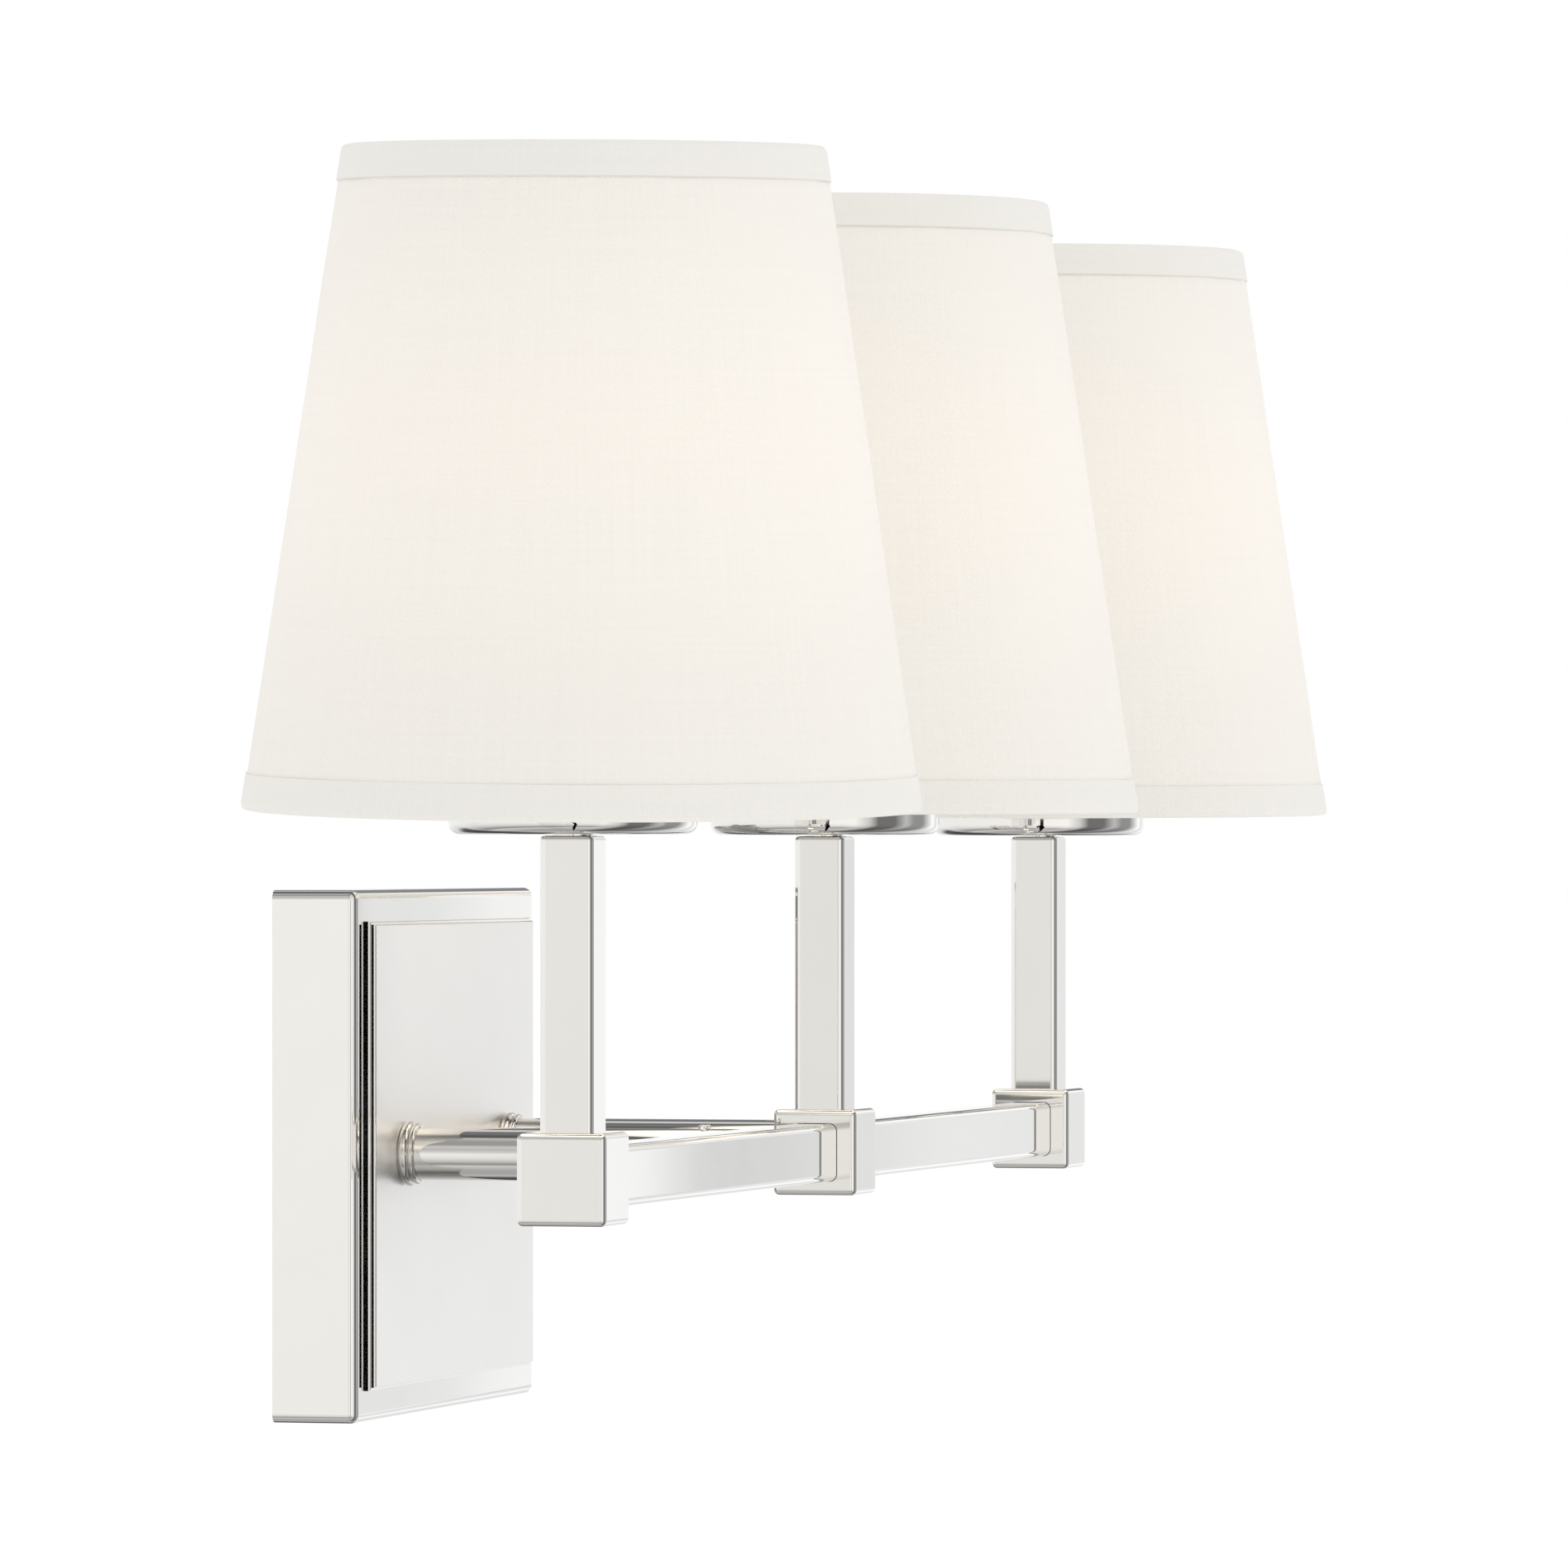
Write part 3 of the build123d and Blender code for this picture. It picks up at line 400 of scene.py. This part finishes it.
def stance(light):
    """Where a shade stands: the middle of its bottom rim, and its across, forward and up directions."""
    (foot, _), (head, _) = rims(light)
    up = (head - foot).normalized()
    across = (Vector((1, 0, 0)) - up * up.x).normalized()
    return foot, across, up.cross(across), up


# Heights on a shade are measured from its bottom rim along its own axis.
(low_middle, LOW_RADIUS), (high_middle, HIGH_RADIUS) = rims("centre")
SHADE_LOW, SHADE_HIGH = 0.0, (high_middle - low_middle).length


def cone_radius(z):
    share = (z - SHADE_LOW) / (SHADE_HIGH - SHADE_LOW)
    return LOW_RADIUS + (HIGH_RADIUS - LOW_RADIUS) * share


def smooth_path(points, steps=5):
    """A rounded line through given points (Catmull-Rom)."""
    path = []
    ends = [points[0], *points, points[-1]]
    for i in range(len(points) - 1):
        p0, p1, p2, p3 = (Vector(p) for p in ends[i : i + 4])
        for k in range(steps):
            t = k / steps
            path.append(
                0.5 * (2 * p1 + (p2 - p0) * t + (2 * p0 - 5 * p1 + 4 * p2 - p3) * t**2
                       + (3 * p1 - 3 * p2 + p3 - p0) * t**3)
            )
    path.append(Vector(points[-1]))
    return path


def thicken(path, thickness):
    """Close a line into a thin outline, thickness wide, with square ends."""
    sides = ([], [])
    for i, point in enumerate(path):
        along = (path[min(i + 1, len(path) - 1)] - path[max(i - 1, 0)]).normalized()
        normal = Vector((along.y, -along.x))
        sides[0].append(point + normal * thickness / 2)
        sides[1].append(point - normal * thickness / 2)
    return sides[0] + sides[1][::-1]


def ripple(seed, angle, z, size):
    """A small smooth unevenness of hand-laid cloth, in metres."""
    where = Vector((math.cos(angle) * 3.0, math.sin(angle) * 3.0, z * 60.0 + seed * 7.3))
    return noise.noise(where) * size


def seam(angle, turn):
    """How far the lapped seam stands out: a soft step on one side and a cut edge on the other."""
    arc = (angle - SEAM_ANGLE) * turn
    if not 0.0 <= arc < SEAM_LAP:
        return 0.0
    return SEAM_RISE * min(1.0, arc / SEAM_EASE)


def ring_angles():
    """Angles round a shade, with close pairs at the seam's edges."""
    angles = [2 * math.pi * i / AROUND for i in range(AROUND)]
    cut = SEAM_ANGLE + SEAM_LAP / LOW_RADIUS
    extra = [SEAM_ANGLE + 1e-4, cut - 2e-3, cut + 2e-3, SEAM_ANGLE + SEAM_EASE / LOW_RADIUS]
    return sorted(set(angles + extra))


def lathe(name, light, outline, look, rise):
    """A closed cloth or liner shell round a shade's own axis, with UVs in metres."""
    foot, across, forward, up = stance(light)
    angles = ring_angles()
    mesh = bpy.data.meshes.new(name)
    shape = bmesh.new()
    uv = shape.loops.layers.uv.new("cloth")
    rings = []
    for angle in angles:
        ring = []
        for point in outline:
            radius = point.x + rise(angle, point.y)
            outward = across * math.cos(angle) + forward * math.sin(angle)
            ring.append(shape.verts.new(foot + outward * radius + up * point.y))
        rings.append(ring)
    run = [0.0]
    for a, b in zip(outline, outline[1:] + outline[:1]):
        run.append(run[-1] + (b - a).length)
    count = len(outline)
    for i in range(len(angles)):
        j = (i + 1) % len(angles)
        start = angles[i]
        stop = angles[j] if j else 2 * math.pi
        for k in range(count):
            m = (k + 1) % count
            face = shape.faces.new((rings[i][k], rings[j][k], rings[j][m], rings[i][m]))
            face.smooth = True
            corners = ((start, run[k]), (stop, run[k]), (stop, run[k + 1]), (start, run[k + 1]))
            for loop, (turn, along) in zip(face.loops, corners):
                loop[uv].uv = (turn * LOW_RADIUS, along)
    bmesh.ops.recalc_face_normals(shape, faces=shape.faces)
    shape.to_mesh(mesh)
    shape.free()
    mesh.materials.append(look)
    made = bpy.data.objects.new(name, mesh)
    bpy.context.scene.collection.objects.link(made)
    edge = made.modifiers.new("sharp rims", "EDGE_SPLIT")
    edge.split_angle = math.radians(50)
    return made


def wall_outline(outer_shift, inner_shift, low, high, steps):
    """Outline of a conical wall between two offsets from the cone."""
    heights = [low + (high - low) * i / steps for i in range(steps + 1)]
    outer = [Vector((cone_radius(z) + outer_shift, z)) for z in heights]
    inner = [Vector((cone_radius(z) + inner_shift, z)) for z in reversed(heights)]
    return outer + inner


def hem_outline(rim_z, up):
    """Tape from the outside of the cover, over the rim and round the wire to the liner.
    up is +1 at the bottom rim, where the shade is above, and -1 at the top."""
    outside = TAPE / 2 + 0.05 * MM

    def at(shift, rise):
        z = rim_z + up * rise
        return (cone_radius(z) + shift, z)

    wire = COVER_WALL + WIRE_RADIUS
    points = [
        at(outside, HEM_WIDTH),
        at(outside, HEM_WIDTH * 0.66),
        at(outside, HEM_WIDTH * 0.33),
        at(outside, 1.1 * MM),
        at(outside - 0.25 * MM, 0.25 * MM),
        at(-0.8 * MM, -0.15 * MM),
        at(-wire, -0.15 * MM),
        at(-wire - 1.1 * MM, 0.35 * MM),
        at(-wire - 1.5 * MM, WIRE_INSET),
        at(-wire - 1.0 * MM, WIRE_INSET + 1.3 * MM),
        at(-COVER_WALL - 0.35 * MM, WIRE_INSET + 3.0 * MM),
        at(-COVER_WALL - 0.25 * MM, WIRE_INSET + 4.5 * MM),
    ]
    return thicken(smooth_path([Vector(p) for p in points]), TAPE)


# The cover's glow is painted light for the bulb shining through the cloth.
LINEN = linen("white_linen", (0.826, 0.802, 0.752), 0.55 * MM, glow=0.08, bulb_z=BULB_Z, glow_reach=52 * MM)
# The tapes carry a painted shadow line along their edge.
HEM_LINEN = linen("white_linen_tape", (0.806, 0.785, 0.742), 0.45 * MM, painted_edge_shadow=0.3 * MM)


def make_shade(light, seed):
    """The cloth cover, its liner and its two hem tapes for one light."""
    body = f"shade_{light}"

    def cloth_rise(angle, z):
        return seam(angle % (2 * math.pi), LOW_RADIUS) + ripple(seed, angle, z, 0.10 * MM)

    def tape_rise(angle, z):
        return seam(angle % (2 * math.pi), LOW_RADIUS) * 0.6 + ripple(seed + 5, angle * 2, z, 0.07 * MM)

    cover = lathe(
        f"linen_cover_{light}", light,
        wall_outline(0.0, -FABRIC, SHADE_LOW, SHADE_HIGH, 40), LINEN, cloth_rise,
    )
    inset = FABRIC + 0.05 * MM
    liner = lathe(
        f"stiff_liner_{light}", light,
        wall_outline(-inset, -inset - LINER_WALL, SHADE_LOW, SHADE_HIGH, 12), LINER, lambda angle, z: 0.0,
    )
    hems = []
    for place, rim_z, up in (("bottom", SHADE_LOW, 1), ("top", SHADE_HIGH, -1)):
        hems.append(lathe(f"hem_tape_{place}_{light}", light, hem_outline(rim_z, up), HEM_LINEN, tape_rise))
    for piece in (cover, liner, *hems):
        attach(piece, body)
    for hem in hems:
        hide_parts(f"shade_trim_{light}")
    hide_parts(f"shade_cover_{light}")


for seed, light in enumerate(LIGHTS):
    make_shade(light, seed)

# ------------------------------------------------------------------ studio

STUDIO = 30.0
FLOOR_Z = CAD_BOX[0][2] - 0.25
# Brightness of the studio that polished metal sees, in degrees. The walls are by azimuth, and the end
# and front panels multiply them over the narrow ranges that the flat end and front faces mirror. The
# curves are by elevation: on the room's near side, on its far side, and to the sides.
WALL_PANELS = (
    (0, 0.85), (150, 0.87), (225, 0.93), (240, 0.60), (250, 0.16), (270, 0.16), (285, 0.50),
    (297, 0.28), (312, 0.28), (322, 0.60), (334, 1.0), (352, 1.0), (360, 0.85),
)
END_PANEL = (
    (160, 1.0), (163.2, 0.99), (164, 0.91), (165.5, 0.86), (167, 0.88), (180, 0.92),
    (195.0, 1.0), (195.4, 0.0), (198.6, 0.0), (199.2, 1.0), (200, 1.0),
)
FRONT_PANEL = (
    (334, 1.0), (340, 0.88), (342.4, 0.77), (343.74, 0.76), (344.0, 0.91), (344.5, 0.91), (344.8, 0.64),
    (345.1, 0.64), (345.75, 0.73), (346.2, 0.805), (347, 0.76), (350, 0.86), (352, 1.0),
)
NEAR_CURVE = (
    (-90, 0.40), (-67, 0.44), (-49, 0.68), (-42, 0.29), (-30, 0.60), (-20, 0.80), (-10, 0.93),
    (0, 1.0), (10, 0.68), (20, 0.54), (29, 0.68), (39, 0.36), (54, 0.37), (65, 0.59), (71, 0.07),
    (76, 0.20), (90, 0.20),
)
FAR_CURVE = (
    (-90, 0.40), (-67, 0.55), (-56, 0.10), (-38, 0.06), (-26, 0.12), (-18, 0.80), (-5, 1.0),
    (4, 1.0), (5.5, 0.25), (24, 0.28), (37, 0.18), (45, 0.20), (53, 0.90), (59, 0.60), (65, 0.12),
    (73, 0.25), (90, 0.20),
)
SIDE_CURVE = (
    (-90, 0.35), (-60, 0.50), (-30, 0.80), (-12, 1.0), (16, 1.0), (40, 0.60), (70, 0.25), (90, 0.20),
)
WARM_LIGHT = (1.0, 0.987, 0.960)
COOL_LIGHT = (0.985, 0.993, 1.0)


def ramp(made, value, low, high, stops):
    """A piecewise-linear curve of a value, as a colour ramp between low and high."""
    share = spread(made, value, 0.0, 1.0, low, high)
    new = node(made, "ValToRGB", {"Fac": share})
    marks = new.color_ramp.elements
    for i, (place, tone) in enumerate(stops):
        if i == 0 or i == len(stops) - 1:
            mark = marks[0 if i == 0 else len(marks) - 1]
        else:
            mark = marks.new((place - low) / (high - low))
        mark.color = (tone, tone, tone, 1.0)
    return new.outputs["Color"]


def dome_material():
    """Soft panels and black flags, drawn by direction: azimuth and elevation in degrees."""
    made = bpy.data.materials.new("studio_dome")
    made.use_nodes = True
    tree = made.node_tree
    tree.nodes.clear()
    place = node(made, "VectorMath", {0: object_position(made)}, operation="NORMALIZE").outputs[0]
    parts = node(made, "SeparateXYZ", {"Vector": place})
    azimuth = sums(made, "DEGREES", sums(made, "ARCTAN2", parts.outputs["Y"], parts.outputs["X"]))
    azimuth = sums(made, "FLOORED_MODULO", azimuth, 360.0)
    elevation = sums(made, "DEGREES", sums(made, "ARCSINE", parts.outputs["Z"]))
    walls = ramp(made, azimuth, 0.0, 360.0, WALL_PANELS)
    for panel in (END_PANEL, FRONT_PANEL):
        fine = ramp(made, azimuth, panel[0][0], panel[-1][0], panel)
        walls = node(made, "VectorMath", {0: walls, 1: fine}, operation="MULTIPLY").outputs[0]
    near = ramp(made, elevation, -90.0, 90.0, NEAR_CURVE)
    far = ramp(made, elevation, -90.0, 90.0, FAR_CURVE)
    side = ramp(made, elevation, -90.0, 90.0, SIDE_CURVE)
    is_near = ramp(made, azimuth, 0.0, 360.0, ((0, 0), (62, 0), (80, 1), (215, 1), (240, 0), (360, 0)))
    is_far = ramp(made, azimuth, 0.0, 360.0, ((0, 1), (58, 1), (72, 0), (356, 0), (357.5, 1), (360, 1)))
    curve = blend_colours(made, is_far, blend_colours(made, is_near, side, near), far)
    tone = node(made, "VectorMath", {0: walls, 1: curve}, operation="MULTIPLY").outputs[0]
    warm = ramp(made, azimuth, 0.0, 360.0, ((0, 0), (70, 0), (110, 1), (230, 1), (290, 0), (360, 0)))
    tint = blend_colours(made, warm, COOL_LIGHT, WARM_LIGHT)
    colour = node(made, "VectorMath", {0: tone, 1: tint}, operation="MULTIPLY").outputs[0]
    glow = node(made, "Emission", {"Color": colour, "Strength": 1.16})
    out = node(made, "OutputMaterial")
    tree.links.new(glow.outputs[0], out.inputs["Surface"])
    return made


def make_dome():
    """A sphere of soft panels and black flags that only polished surfaces see."""
    mesh = bpy.data.meshes.new("studio_dome")
    shape = bmesh.new()
    bmesh.ops.create_icosphere(shape, subdivisions=5, radius=STUDIO)
    shape.to_mesh(mesh)
    shape.free()
    mesh.materials.append(dome_material())
    dome = bpy.data.objects.new("studio_dome", mesh)
    bpy.context.scene.collection.objects.link(dome)
    dome.location = centre_of("bar_tube")
    dome.visible_camera = False
    dome.visible_diffuse = False
    dome.visible_transmission = False
    dome.visible_volume_scatter = False
    dome.visible_shadow = False


def make_floor():
    """A plain pale floor below the light."""
    mesh = bpy.data.meshes.new("floor")
    half = 40.0
    corners = [(-half, -half, FLOOR_Z), (half, -half, FLOOR_Z), (half, half, FLOOR_Z), (-half, half, FLOOR_Z)]
    mesh.from_pydata(corners, [], [(0, 1, 2, 3)])
    made, shader = material("pale_floor", Roughness=0.9)
    shader.inputs["Base Color"].default_value = (0.93, 0.93, 0.93, 1.0)
    shader.inputs["Emission Color"].default_value = (1.0, 1.0, 1.0, 1.0)
    shader.inputs["Emission Strength"].default_value = 0.14
    mesh.materials.append(made)
    floor = bpy.data.objects.new("floor", mesh)
    bpy.context.scene.collection.objects.link(floor)
    floor.visible_glossy = False


def make_light(name, place, aim, size, power):
    """A soft box that isn't seen itself, only its light."""
    data = bpy.data.lights.new(name, "AREA")
    data.shape = "SQUARE"
    data.size = size
    data.energy = power
    lamp = bpy.data.objects.new(name, data)
    bpy.context.scene.collection.objects.link(lamp)
    lamp.location = place
    lamp.rotation_euler = (Vector(aim) - Vector(place)).to_track_quat("-Z", "Y").to_euler()
    lamp.visible_camera = False
    lamp.visible_glossy = False


def make_world():
    world = bpy.data.worlds.new("studio")
    world.use_nodes = True
    background = world.node_tree.nodes["Background"]
    background.inputs["Color"].default_value = (1.0, 1.0, 1.0, 1.0)
    background.inputs["Strength"].default_value = 1.0
    bpy.context.scene.world = world
    bpy.context.scene.view_settings.view_transform = "Standard"
    bpy.context.scene.view_settings.look = "None"


def make_camera():
    """Eye level just under the shades, from the room to the left of the light, with a long lens."""
    data = bpy.data.cameras.new("camera")
    data.sensor_width = 36.0
    data.lens = 251.1
    data.shift_y = 0.037
    data.clip_end = 100.0
    camera = bpy.data.objects.new("camera", data)
    bpy.context.scene.collection.objects.link(camera)
    camera.location = (-2.397, -0.727, 0.070)
    heading = math.radians(14.68)
    camera.rotation_euler = (math.radians(90), 0.0, heading - math.radians(90))
    bpy.context.scene.camera = camera


make_world()
make_dome()
make_floor()
make_light("side_softbox", (-0.3, -2.4, 0.5), (0, -0.1, 0.1), 1.6, 3.5)
make_camera()
